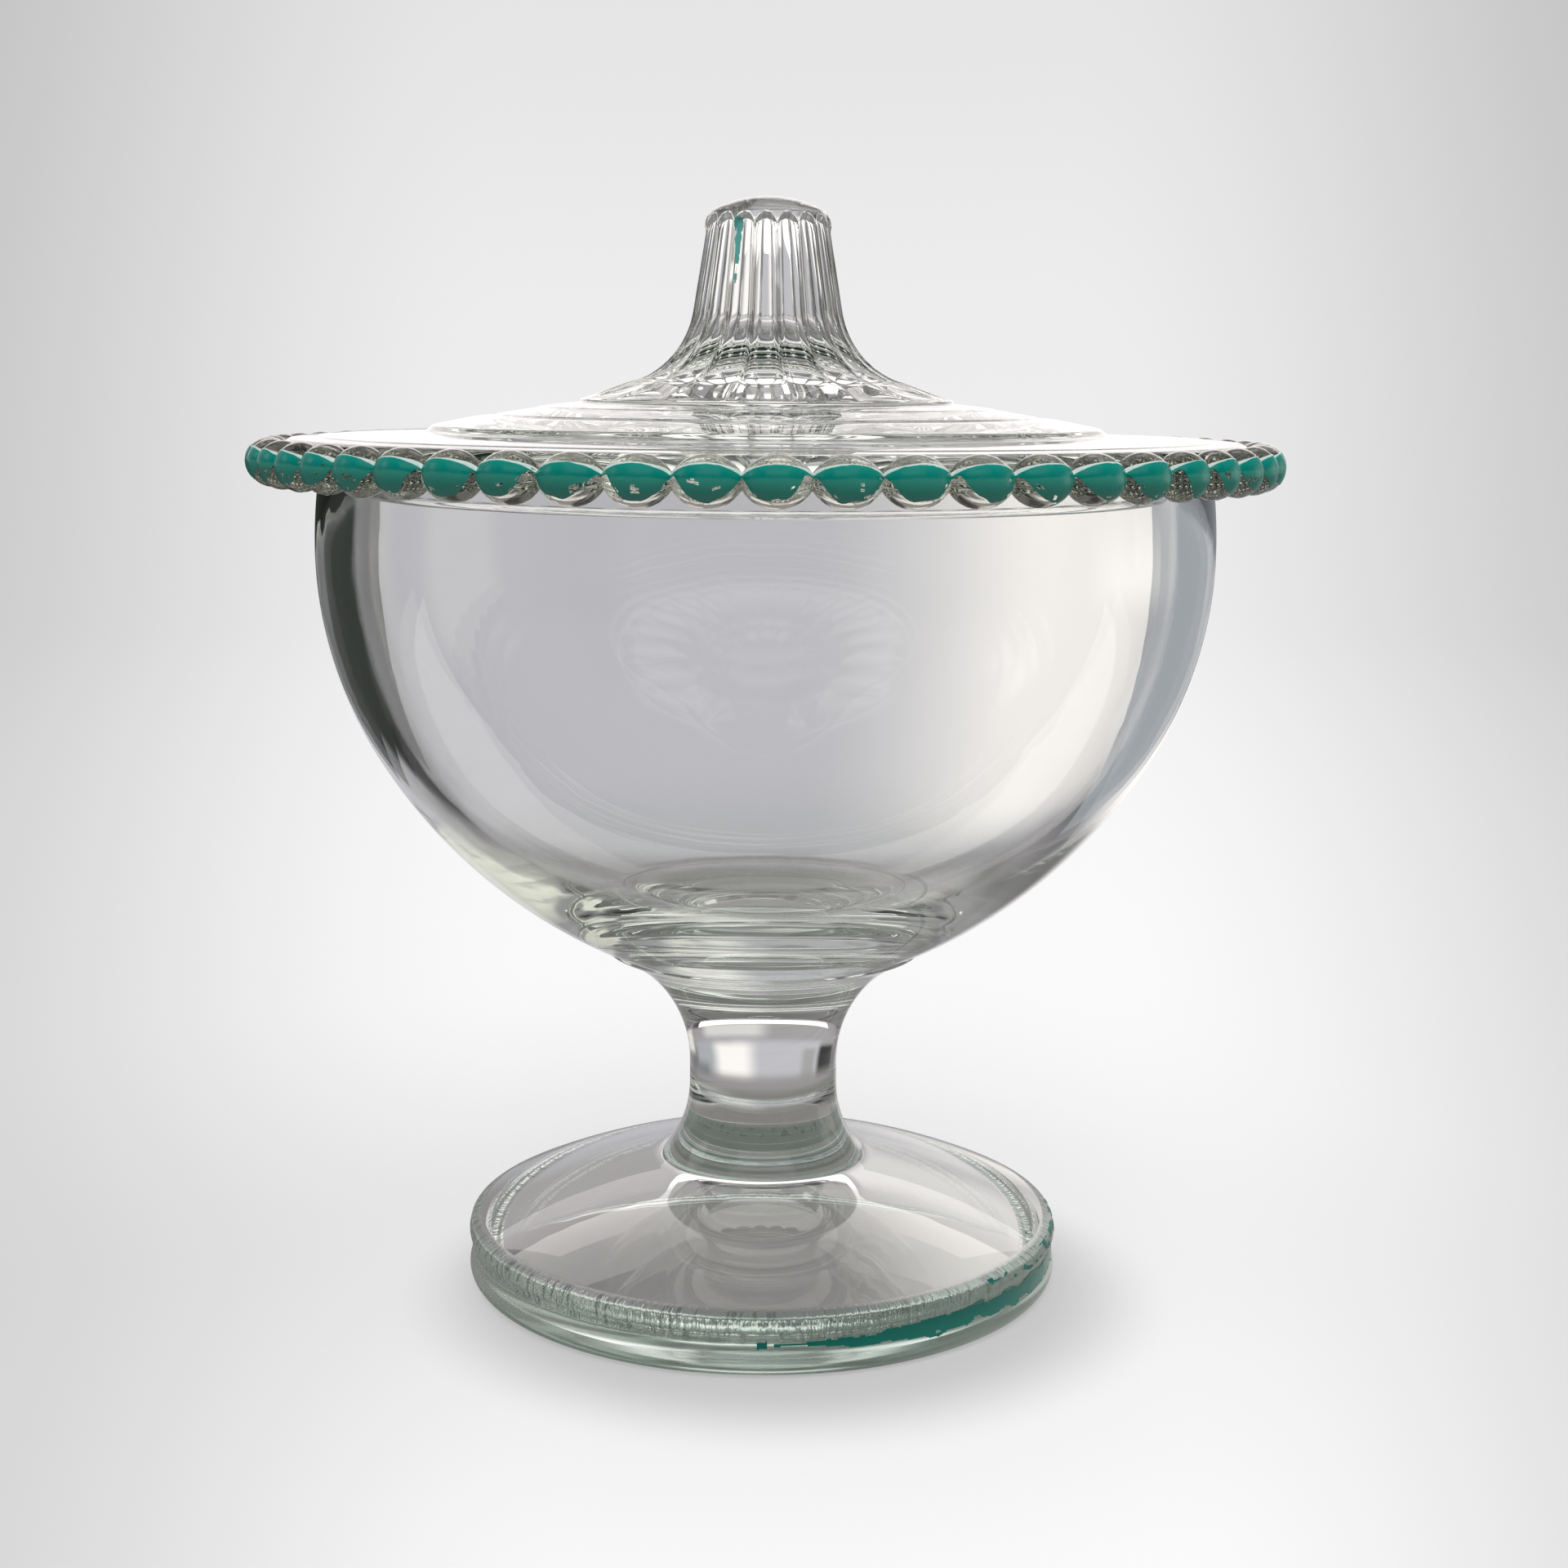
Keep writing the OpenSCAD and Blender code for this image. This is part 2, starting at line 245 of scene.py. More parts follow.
def foot_and_stem():
    """Round the foot's edge, over its dome, up the waisted stem and round the collar."""
    lower_cx = WAIST_R + LOWER_STEM_R
    base_turn = math.degrees(math.asin((LOWER_WAIST_Z - FOOT_TOP_Z) / LOWER_STEM_R))
    stem_base_r = lower_cx - LOWER_STEM_R * math.cos(math.radians(base_turn))
    dome_cz = FOOT_TOP_Z - math.sqrt(FOOT_DOME_R ** 2 - stem_base_r ** 2)
    dome_start = 90 - math.degrees(math.asin((FOOT_R - 0.9) / FOOT_DOME_R))
    dome_end = 90 - math.degrees(math.asin((stem_base_r + 0.5) / FOOT_DOME_R))
    upper_cx = WAIST_R + UPPER_STEM_R
    collar_z = UPPER_WAIST_Z + math.sqrt(UPPER_STEM_R ** 2 - (upper_cx - COLLAR_R) ** 2)
    collar_turn = math.degrees(math.acos((upper_cx - COLLAR_R + 0.4) / UPPER_STEM_R))
    collar = rounded([
        (COLLAR_R - 0.3, collar_z - 0.12), (COLLAR_R, collar_z + 0.05, 0.2),
        (COLLAR_R, BOWL_BOTTOM_Z - 0.15, 0.2), (COLLAR_R + 0.8, BOWL_BOTTOM_Z + 0.15)], 4)
    return (
        foot_edge()
        + arc(0, dome_cz, FOOT_DOME_R, dome_start, dome_end, 22)
        + arc(lower_cx, LOWER_WAIST_Z, LOWER_STEM_R, 180 + base_turn - 1, 180, 24)
        + arc(upper_cx, UPPER_WAIST_Z, UPPER_STEM_R, 180, 180 - collar_turn, 34)
        + collar[1:]
    )


def bowl_walls():
    """Up the outside of the bowl, over the rim, and down the inside to the middle of the floor."""
    belly_cx = BOWL_R - BELLY_ARC_R
    belly_turn = math.radians(BELLY_TURN)
    flat_cx = belly_cx - (FLAT_ARC_R - BELLY_ARC_R) * math.cos(belly_turn)
    flat_cz = BELLY_Z + (FLAT_ARC_R - BELLY_ARC_R) * math.sin(belly_turn)
    bottom_turn = math.degrees(math.acos((COLLAR_R + 0.8 - flat_cx) / FLAT_ARC_R))
    inner_r = BOWL_R - WALL
    inner_cx = inner_r - INNER_ARC_R
    floor_turn = math.degrees(math.acos((FLOOR_R - inner_cx) / INNER_ARC_R))
    floor_z = BELLY_Z - INNER_ARC_R * math.sin(math.radians(floor_turn))
    rim_turn = math.degrees(math.asin((RIM_Z - RIM_ROUND - BELLY_Z) / RIM_ARC_R))
    rim_r = BOWL_R - RIM_ARC_R + RIM_ARC_R * math.cos(math.radians(rim_turn))
    return (
        arc(flat_cx, flat_cz, FLAT_ARC_R, -bottom_turn + 0.5, -BELLY_TURN, 26)
        + arc(belly_cx, BELLY_Z, BELLY_ARC_R, 2 - BELLY_TURN, 0, 22)
        + arc(BOWL_R - RIM_ARC_R, BELLY_Z, RIM_ARC_R, 1.5, rim_turn, 6)
        + arc(rim_r - RIM_ROUND, RIM_Z - RIM_ROUND, RIM_ROUND, 20, 90, 7)
        + arc(inner_r + RIM_ROUND, RIM_Z - RIM_ROUND, RIM_ROUND, 90, 180, 8)
        + arc(inner_cx, BELLY_Z, INNER_ARC_R, 0, -floor_turn, 44)
        + [(FLOOR_R - 1.2, floor_z - 0.12), (FLOOR_R - 4, floor_z - 0.05), (10, floor_z), (0, floor_z)]
    )


def make_dish(material):
    """The bowl, stem and foot as one skin."""
    outline = np.array(divided(underside() + foot_and_stem() + bowl_walls(), 3.2))
    turns = np.linspace(0, 2 * math.pi, 300, endpoint=False)
    radii = np.repeat(outline[:, :1], len(turns), axis=1)
    heights = np.repeat(outline[:, 1:], len(turns), axis=1)
    vertices, faces = skin(radii, heights, turns)
    make_object("dish_glass", vertices, faces, material, DISH,
                ("bowl", "stem", "foot"))


# ---------------------------------------------------------------- lid

def bead_radius(t):
    """Radius of the ring of beads at t mm along it from the middle of a bead."""
    return np.sqrt(BEAD_ARC_R ** 2 - t ** 2) - (BEAD_ARC_R - BEAD_H)


def rim_columns():
    """Turn of each column round the lid, and its distance from the middle of its bead."""
    count = BEADS * COLUMNS_PER_BEAD
    share = (np.arange(count) / COLUMNS_PER_BEAD + 0.5) % 1 - 0.5
    bead = np.round(np.arange(count) / COLUMNS_PER_BEAD - share)
    along = np.sin(math.pi * share) / 2
    turns = BEAD_TURN + 2 * math.pi * (bead + along) / BEADS
    return turns, BEAD_PITCH * along


def bead_rings(t, steps=20):
    """Rings round the beads, from the brim's underside to its top. t is each column's distance from
    the middle of its bead."""
    r = bead_radius(t)
    root = BEAD_RING_R - BRIM_R
    back = np.minimum(math.radians(140), math.radians(172) - np.arccos(np.minimum(1, root / r)))
    root_h = np.maximum(0.55, np.sqrt(np.maximum(0, r ** 2 - root ** 2)))
    rings = [(np.full_like(t, BRIM_R), np.maximum(SEAT_Z + 0.02, BEAD_Z - root_h))]
    for k in range(steps + 1):
        a = back * (2 * k / steps - 1)
        rings.append((BEAD_RING_R + r * np.cos(a), BEAD_Z + r * np.sin(a)))
    rings.append((np.full_like(t, BRIM_R), BEAD_Z + root_h))
    return rings


def lid_underside():
    """From the axis out to the brim's edge: a shallow dome, then the seat ring, then the brim."""
    hollow_r = (SEAT_INNER_R ** 2 + HOLLOW_RISE ** 2) / (2 * HOLLOW_RISE)
    edge = math.degrees(math.asin(SEAT_INNER_R / hollow_r))
    dome = arc(0, SEAT_Z + HOLLOW_RISE - hollow_r, hollow_r, 90, 90 - 0.97 * edge, 14)
    ring = rounded([
        (SEAT_INNER_R - 1.5, SEAT_Z + 0.2), (SEAT_INNER_R, SEAT_Z, 0.7),
        (SEAT_INNER_R, SEAT_BOTTOM_Z, 1.1), (SEAT_OUTER_R, SEAT_BOTTOM_Z, 1.1),
        (SEAT_OUTER_R, SEAT_Z, 0.5), (BRIM_R - 0.3, SEAT_Z)], 5)[1:]
    return divided(dome + ring, 4)


def lid_top():
    """From the brim's edge in to the skirt: terraces, as radius, height above the brim, and fillet."""
    steps = [
        (64.9, -0.35), (64.3, 0, 0.3), (61, 0.15, 0.2), (60.7, 0.3, 0.2),
        (46.8, 0.85, 0.8), (46.1, 1.15, 0.3), (45.5, 1.7, 0.3), (44.8, 1.85, 0.5),
        (39.4, 2.9, 1.0), (37.1, 2.98, 0.4), (36.8, 3.2, 0.3),
        (31.4, 4.08, 0.4), (31, 4.25, 0.3), (SKIRT_R + 0.15, CROWN_Z - BRIM_Z - 0.15),
    ]
    return divided(rounded([(r, BRIM_Z + above, *fillet) for r, above, *fillet in steps], 3), 5)


def knob_outline():
    """From the skirt's lip up to the top: (r, z, share of the flute's depth)."""
    flare = arc(FLARE_CX, FLARE_CZ, FLARE_ARC_R, 250, 188, 18)
    skirt = []
    end_r, end_z = flare[0]
    for u in np.linspace(1, 0, 16, endpoint=False):
        r = end_r + u * (SKIRT_R - 0.1 - end_r)
        z = end_z - u ** 1.25 * (end_z - CROWN_Z - 0.3)
        skirt.append((r, z, 1 - u ** 5))
    r0, z0 = flare[-1]
    barrel = [(r0 - BARREL_TAPER * h, z0 + h, 1) for h in np.linspace(0.7, BARREL_H, 26)]
    r1, z1, _ = barrel[-1]
    shoulder = [(r, z, 1) for r, z in arc(r1 - 2.64, z1 - 0.32, SHOULDER_R, 7, 65, 18)[1:]]
    r2, z2, _ = shoulder[-1]
    cap_cz = z2 - math.sqrt(CAP_ARC_R ** 2 - r2 * r2)
    cap = [(r, cap_cz + math.sqrt(CAP_ARC_R ** 2 - r * r), 0) for r in np.linspace(r2, 0, 9)[1:]]
    lip = [(SKIRT_R, CROWN_Z, 0), (SKIRT_R, CROWN_Z + 0.2, 0)]
    return np.array(lip + skirt + [(r, z, 1) for r, z in flare] + barrel + shoulder + cap)


def flute_dip(turns, z):
    """How far the flutes cut in: rounded channels between narrow ridges, with arches at the top."""
    across = ((turns - KNOB_TURN) * FLUTES / (2 * math.pi)) % 1 * 2 - 1
    channel = np.sqrt(np.maximum(0, 1 - across ** 2))
    arch_top = ARCH_TOP_Z - ARCH_RISE * (1 - channel)
    ends = np.clip((arch_top - z) / ARCH_SLOPE, 0, 1)
    return FLUTE_DEPTH * channel ** 0.8 * ends * ends * (3 - 2 * ends)


def knob_surface(turns, lift=0.0):
    """Radii and heights of the knob's rings, a row for each ring and a column for each turn."""
    outline = knob_outline()
    r, z, share = (outline[:, k:k + 1] for k in range(3))
    along = np.gradient(outline[:, :2], axis=0)
    along /= np.linalg.norm(along, axis=1, keepdims=True)
    dip = flute_dip(turns[None], z) * share - lift
    return np.maximum(r - dip * along[:, 1:], 0) * (r > 0), z + dip * along[:, :1]


def make_lid(material):
    """The cover, seat ring, beads and knob as one skin."""
    turns, t = rim_columns()
    flat = np.ones_like(turns)
    rings = [(r * flat, z * flat) for r, z in lid_underside()]
    rings += bead_rings(t)
    rings += [(r * flat, z * flat) for r, z in lid_top()]
    rings += list(zip(*knob_surface(turns)))
    radii = np.array([r for r, _ in rings])
    heights = np.array([z for _, z in rings])
    vertices, faces = skin(radii, heights, turns)
    make_object("lid_glass", vertices, faces, material, LID,
                ("lid_cover", "lid_seat_ring", "lid_rim_beads", "lid_knob"))


# ---------------------------------------------------------------- enamel

# Faces of the film above the glass, in millimetres
FILM_TOP = 0.07
FILM_BOTTOM = 0.01

# Edges of the green before wear: degrees up a bead's section, and degrees to the right of the front
BEAD_GREEN_HIGH = 43
BEAD_GREEN_LOW = -41
FOOT_GREEN_TURNS = (-2, 97)
FOOT_GREEN_LOW_Z = 1
STREAK_TURNS = (-32.2, -24.2)
STREAK_LOW_Z = 139.3
STREAK_HIGH_Z = 148.2
STREAK_GAP = (140.6, 141.7)


def join_corners(kept):
    """Fills in cells until no two kept cells meet at a corner alone."""
    while True:
        a, b, c, d = kept[:-1, :-1], kept[:-1, 1:], kept[1:, :-1], kept[1:, 1:]
        falling = a & d & ~b & ~c
        rising = b & c & ~a & ~d
        if not (falling.any() or rising.any()):
            return kept
        b |= falling
        a |= rising


def film(top, bottom, kept):
    """Closed thin shell over the kept cells between two grids of points."""
    rows, columns = top.shape[:2]
    kept = join_corners(kept.copy())
    count = rows * columns
    index = np.arange(count).reshape(rows, columns)
    faces = []
    for i, j in zip(*np.nonzero(kept)):
        ring = [index[i, j], index[i, j + 1], index[i + 1, j + 1], index[i + 1, j]]
        faces.append(tuple(int(k) for k in ring))
        faces.append(tuple(int(k) + count for k in reversed(ring)))
        beside = [(i - 1, j), (i, j + 1), (i + 1, j), (i, j - 1)]
        for k, (m, n) in enumerate(beside):
            if not (0 <= m < rows - 1 and 0 <= n < columns - 1 and kept[m, n]):
                a, b = int(ring[k]), int(ring[(k + 1) % 4])
                faces.append((b, a, a + count, b + count))
    used = sorted({k for face in faces for k in face})
    place = {k: n for n, k in enumerate(used)}
    points = np.concatenate([top.reshape(-1, 3), bottom.reshape(-1, 3)])[used]
    return points, [tuple(place[k] for k in face) for face in faces]


def wear(x, y, z):
    """Smooth noise for worn edges and chips, with finer noise on it."""
    return noise.noise(Vector((x, y, z))) + 0.5 * noise.noise(Vector((2.3 * x + 7, 2.3 * y, 2.3 * z)))


def bead_point(bead, t, a, lift):
    """A point on a bead's skin, t mm along from its middle and at angle a up its section."""
    r = bead_radius(t) + lift
    turn = BEAD_TURN + 2 * math.pi * (bead + t / BEAD_PITCH) / BEADS
    reach = BEAD_RING_R + r * math.cos(a)
    return (reach * math.sin(turn), -reach * math.cos(turn), BEAD_Z + r * math.sin(a))


def bead_film(bead):
    """Green on one bead, in degrees up its section: an even upper edge from neck to neck, and a lower
    edge that is worn, more so at one corner, with a few chips."""
    columns, rows = 27, 15
    top = np.zeros((rows, columns, 3))
    bottom = np.zeros((rows, columns, 3))
    kept = np.ones((rows - 1, columns - 1), bool)
    worn = noise.noise(Vector((bead * 0.73, 1.7, 0.0)))
    for j in range(columns):
        t = BEAD_PITCH * math.sin(math.pi * (j / (columns - 1) - 0.5)) / 2 * 0.995
        neck = abs(2 * t / BEAD_PITCH) ** 4
        high = BEAD_GREEN_HIGH + 26 * neck + 4 * noise.noise(Vector((bead * 9.1 + t * 0.2, 4.2, 0.3)))
        corner = min(abs(2 * t / BEAD_PITCH + 0.5 * worn), 1) ** 3
        low = BEAD_GREEN_LOW + 66 * max(neck, corner) + 6 * worn
        low += 12 * wear(bead * 5.3 + t * 0.45, 8.5, 1.1)
        for i in range(rows):
            a = high + (low - high) * i / (rows - 1)
            top[i, j] = bead_point(bead, t, math.radians(a), FILM_TOP)
            bottom[i, j] = bead_point(bead, t, math.radians(a), FILM_BOTTOM)
            if i < rows - 1 and j < columns - 1:
                down = i / (rows - 1)
                chip = wear(bead * 3.7 + t * 0.6, a * 0.05, 5.0) + 0.3 * t / BEAD_PITCH + 0.3 * down
                kept[i, j] = chip < 0.72 or down < 0.3
    return film(top, bottom, kept)


def green_left(degrees, z):
    """Whether green is left on the foot's edge at that turn and height: a band along the groove,
    thin where it starts, with a dab before it, and crumbs along the top of the edge."""
    middle = FOOT_EDGE_Z / 2 + 0.25 * noise.noise(Vector((degrees * 0.08, 0, 0)))
    grow = min(max((degrees - 9) / 24, 0), 1) * min(max((96 - degrees) / 12, 0), 1)
    spread = (0.24 + 0.95 * grow) * (1 + 0.7 * wear(degrees * 0.2, z * 0.7, 2.0))
    band = degrees > 2 and abs(z - middle) < spread
    dab = abs(degrees) < 0.8 and abs(z - middle) < 0.5
    rare = 0.45 - 0.005 * (degrees - 40)
    crumbs = degrees > 40 and z > 7 and wear(degrees * 0.33, z * 0.9, 6.0) > rare
    return band or dab or crumbs


def foot_film():
    """Green left on the front right of the foot's edge."""
    outline = np.array([p for p in divided(foot_edge(), 0.22) if p[1] > FOOT_GREEN_LOW_Z])
    along = np.gradient(outline, axis=0)
    along /= np.linalg.norm(along, axis=1, keepdims=True)
    turns = np.radians(np.linspace(*FOOT_GREEN_TURNS, 330))
    shells = []
    for lift in (FILM_TOP, FILM_BOTTOM):
        r = (outline[:, 0] + lift * along[:, 1])[:, None]
        z = (outline[:, 1] - lift * along[:, 0])[:, None] + 0 * turns
        shells.append(np.stack([r * np.sin(turns), -r * np.cos(turns), z], axis=-1))
    degrees = np.degrees(turns[:-1])
    kept = np.array([[green_left(turn, z) for turn in degrees] for z in outline[:-1, 1]])
    return film(shells[0], shells[1], kept)


def knob_film():
    """A thin green streak down one flute of the knob, with a gap near its foot."""
    outline = knob_outline()
    rings = [k for k, (r, z, _) in enumerate(outline) if STREAK_LOW_Z < z < STREAK_HIGH_Z and r > 5]
    turns = np.radians(np.linspace(*STREAK_TURNS, 17))
    top_r, top_z = (v[rings] for v in knob_surface(turns, FILM_TOP))
    low_r, low_z = (v[rings] for v in knob_surface(turns, FILM_BOTTOM))
    kept = np.zeros((len(rings) - 1, len(turns) - 1), bool)
    for i in range(len(rings) - 1):
        z = outline[rings[i]][1]
        for j in range(len(turns) - 1):
            off = abs(j - 7.5 - 1.5 * noise.noise(Vector((z * 0.5, 3.0, 0)))) / 8
            width = 0.22 + 0.085 * max(0, z - 140.5) + 0.25 * noise.noise(Vector((z * 1.1, 9.0, 0)))
            kept[i, j] = off < width and not STREAK_GAP[0] < z < STREAK_GAP[1]
    grids = [np.stack([r * np.sin(turns), -r * np.cos(turns), z], axis=-1)[::-1]
             for r, z in ((top_r, top_z), (low_r, low_z))]
    return film(grids[0], grids[1], kept[::-1])


def make_enamel(name, films, material, body, node):
    """One object of all the films, in place of that CAD node."""
    vertices, faces = [], []
    for points, shell in films:
        start = len(vertices)
        vertices += points.tolist()
        faces += [tuple(start + k for k in face) for face in shell]
    make_object(name, vertices, faces, material, body, (node,))


# ---------------------------------------------------------------- materials

# Tints of the glass's surface, with painted shade in the thick bottom, the knob's ridges and the beads,
# the green in its depth, and how dull the foot's edge is
CLEAR = (0.985, 0.99, 0.985)
# Painted shade: the thick bottom of the bowl made greyer
BOTTOM_PAINTED_SHADE = (0.84, 0.86, 0.84)
# Painted shade along the knob's ridges
RIDGE_PAINTED_SHADE = (0.25, 0.25, 0.22)
# The beads' own tint, darkened further with painted shade
BEAD_TINT_AND_SHADE = (0.60, 0.58, 0.51)
EDGE_GREEN = (0.42, 0.56, 0.51)
EDGE_GREEN_LEFT = (0.86, 0.97, 0.92)
EDGE_GREEN_LOW = (0.38, 0.50, 0.45)
EDGE_STREAKS = (0.22, 0.29, 0.26)
DEPTH_GREEN = (0.2, 0.5, 0.15)
EDGE_ROUGHNESS = 0.2

# Colours of the enamel
BEAD_DEEP = (0.0, 0.34, 0.27)
BEAD_HAZY = (0.06, 0.47, 0.36)
BEAD_LOW = (0.13, 0.50, 0.39)
# A painted highlight along the top edge of the beads' green
BEAD_PAINTED_HIGHLIGHT = (0.8, 0.97, 0.9)
FOOT_DEEP = (0.0, 0.26, 0.20)
FOOT_HAZY = (0.01, 0.34, 0.26)
KNOB_DEEP = (0.20, 0.74, 0.67)
KNOB_HAZY = (0.24, 0.78, 0.71)


class Nodes:
    """A short way to add and join shader nodes."""

    def __init__(self, tree):
        self.tree = tree
        tree.nodes.clear()

    def add(self, kind, inputs=(), **settings):
        node = self.tree.nodes.new(kind)
        for name, value in settings.items():
            setattr(node, name, value)
        for name, value in dict(inputs).items():
            if isinstance(value, bpy.types.NodeSocket):
                self.tree.links.new(value, node.inputs[name])
            else:
                node.inputs[name].default_value = value
        return node


def new_material(name):
    """A material and its nodes, with none in it yet."""
    material = bpy.data.materials.new(name)
    material.use_nodes = True
    return material, Nodes(material.node_tree)


def coordinates(n, place):
    """The x, y and z of a place."""
    split = n.add("ShaderNodeSeparateXYZ", {0: place})
    return [split.outputs[k] for k in "XYZ"]


def grain(n, place, scale, detail):
    """Even-sized random patches, from 0 to 1."""
    node = n.add("ShaderNodeTexNoise", {"Vector": place, "Scale": scale, "Detail": detail})
    return node.outputs["Fac"]


def ranged(n, value, low, high, at_low, at_high, way="LINEAR"):
    """A change from one number at low to another at high, and no further."""
    node = n.add("ShaderNodeMapRange", {
        "Value": value, "From Min": low, "From Max": high,
        "To Min": at_low, "To Max": at_high}, interpolation_type=way)
    return node.outputs["Result"]


def eased(n, value, low, high, at_low, at_high):
    """The same change, made smoothly."""
    return ranged(n, value, low, high, at_low, at_high, "SMOOTHSTEP")


def smooth_step(n, value, low, high):
    """From 0 at low to 1 at high. With low above high it falls as the value rises."""
    return eased(n, value, low, high, 0.0, 1.0)


def fade(n, value, low, high):
    """The same as smooth_step, between two lengths in millimetres."""
    return smooth_step(n, value, low * MM, high * MM)


def maths(n, operation, a, b=0.0):
    """The output of one maths node."""
    return n.add("ShaderNodeMath", {0: a, 1: b}, operation=operation).outputs[0]


def product(n, first, *others):
    """All the values multiplied together."""
    for other in others:
        first = maths(n, "MULTIPLY", first, other)
    return first


def mix(n, share, first, second):
    """A colour between two. Each is an output or three numbers."""
    def ready(colour):
        return (*colour, 1) if isinstance(colour, tuple) else colour

    node = n.add("ShaderNodeMixRGB", {"Fac": share, "Color1": ready(first), "Color2": ready(second)})
    return node.outputs["Color"]


def from_axis(n, x, y):
    """Distance from the axis of the dish."""
    return maths(n, "SQRT", maths(n, "ADD", product(n, x, x), product(n, y, y)))


def flute_shadow(n, place, x, y, z):
    """Painted shade in patches along the ridges between the knob's flutes."""
    turn = maths(n, "ARCTAN2", x, product(n, y, -1.0))
    ridge = maths(n, "COSINE", product(n, maths(n, "SUBTRACT", turn, KNOB_TURN), FLUTES))
    patches = smooth_step(n, grain(n, place, 160.0, 1.0), 0.42, 0.56)
    above_skirt = fade(n, z, CROWN_Z + 3, CROWN_Z + 7)
    below_top = fade(n, z, KNOB_TOP_Z - 2.5, KNOB_TOP_Z - 5)
    return product(n, above_skirt, below_top, smooth_step(n, ridge, 0.6, 0.95), patches)


def glass_bump(n, place, x, y, z, above_groove):
    """The bumps: a faint ripple, and upright mould marks above the groove. Gives the marks as well."""
    ripple = n.add("ShaderNodeTexNoise", {
        "Vector": place, "Scale": 90.0, "Detail": 2.0, "Roughness": 0.4}).outputs["Fac"]
    wavy = n.add("ShaderNodeBump", {"Strength": 0.12, "Distance": 0.2 * MM, "Height": ripple})
    round_edge = product(n, maths(n, "ARCTAN2", x, y), FOOT_R * MM)
    along = n.add("ShaderNodeCombineXYZ", {0: round_edge, 1: product(n, z, 0.2)}).outputs[0]
    marks = grain(n, along, 1500.0, 3.0)
    bump = n.add("ShaderNodeBump", {
        "Strength": 0.8, "Distance": 0.5 * MM, "Normal": wavy.outputs["Normal"],
        "Height": product(n, above_groove, marks)})
    return bump.outputs["Normal"], marks


def edge_colour(n, x, z, above_groove, marks):
    """The dull green of the foot's edge: deeper at its right and bottom, and along the mould marks."""
    green = mix(n, fade(n, x, -25, 0), EDGE_GREEN_LEFT, EDGE_GREEN)
    edge = mix(n, fade(n, z, 2.6, 0.8), green, EDGE_GREEN_LOW)
    return mix(n, product(n, above_groove, smooth_step(n, marks, 0.52, 0.62)), edge, EDGE_STREAKS)


def glass_material():
    """Clear pressed glass with a faint ripple. The foot's edge is dull and green, with upright marks.
    The thick bottom and the ridges of the knob are greyer as painted shade, and the beads are greyer
    with their own tint and painted shade."""
    material, n = new_material("pressed_glass")
    place = n.add("ShaderNodeTexCoord").outputs["Object"]
    x, y, z = coordinates(n, place)
    reach = from_axis(n, x, y)
    below_dome = fade(n, z, FOOT_EDGE_Z + 1, FOOT_EDGE_Z)
    on_foot = product(n, fade(n, reach, FOOT_R - 1.9, FOOT_R - 1.1), below_dome)
    above_groove = product(n, on_foot, fade(n, z, 4.6, 5.6))
    on_beads = fade(n, reach, BRIM_R - 0.2, BRIM_R + 0.4)
    shaded_bottom = product(n, fade(n, z, 66, 54), fade(n, z, 40, 45))

    normal, marks = glass_bump(n, place, x, y, z, above_groove)
    haze = ranged(n, grain(n, place, 35.0, 3.0), 0.5, 0.75, 0.0, 0.03)
    rough = maths(n, "ADD", product(n, on_foot, EDGE_ROUGHNESS), haze)
    # Painted shade in the thick bottom, on the knob's ridges and on the beads
    tint_and_shade = mix(n, shaded_bottom, CLEAR, BOTTOM_PAINTED_SHADE)
    tint_and_shade = mix(n, on_foot, tint_and_shade, edge_colour(n, x, z, above_groove, marks))
    tint_and_shade = mix(n, flute_shadow(n, place, x, y, z), tint_and_shade, RIDGE_PAINTED_SHADE)
    tint_and_shade = mix(n, on_beads, tint_and_shade, BEAD_TINT_AND_SHADE)
    shader = n.add("ShaderNodeBsdfPrincipled", {
        "Base Color": tint_and_shade, "IOR": 1.5, "Transmission Weight": 1.0,
        "Roughness": rough, "Normal": normal})
    depth = n.add("ShaderNodeVolumeAbsorption", {"Color": (*DEPTH_GREEN, 1), "Density": 2.0})
    n.add("ShaderNodeOutputMaterial", {
        "Surface": shader.outputs["BSDF"], "Volume": depth.outputs["Volume"]})
    return material


def enamel_shader(n, place, colour):
    """Fired enamel: glossy in places and dulled in others."""
    patches = grain(n, place, 500.0, 4.0)
    bump = n.add("ShaderNodeBump", {"Strength": 0.3, "Distance": 0.1 * MM, "Height": patches})
    shader = n.add("ShaderNodeBsdfPrincipled", {
        "Base Color": colour, "Roughness": ranged(n, patches, 0.3, 0.7, 0.12, 0.34),
        "Specular IOR Level": 0.3, "Normal": bump.outputs["Normal"]})
    n.add("ShaderNodeOutputMaterial", {"Surface": shader.outputs["BSDF"]})


def blotch(n, place, value, amount):
    """The value moved up and down by an uneven amount, for ragged borders between colours."""
    moved = product(n, maths(n, "SUBTRACT", grain(n, place, 700.0, 3.0), 0.5), amount)
    return maths(n, "ADD", value, moved)


def enamel_material(name, deep, hazy, from_z, to_z):
    """Fired enamel that goes from one green to a hazier one between two heights, in millimetres."""
    material, n = new_material(name)
    place = n.add("ShaderNodeTexCoord").outputs["Object"]
    height = coordinates(n, place)[2]
    fall = smooth_step(n, blotch(n, place, height, 1.2 * MM), from_z * MM, to_z * MM)
    enamel_shader(n, place, mix(n, fall, deep, hazy))
    return material


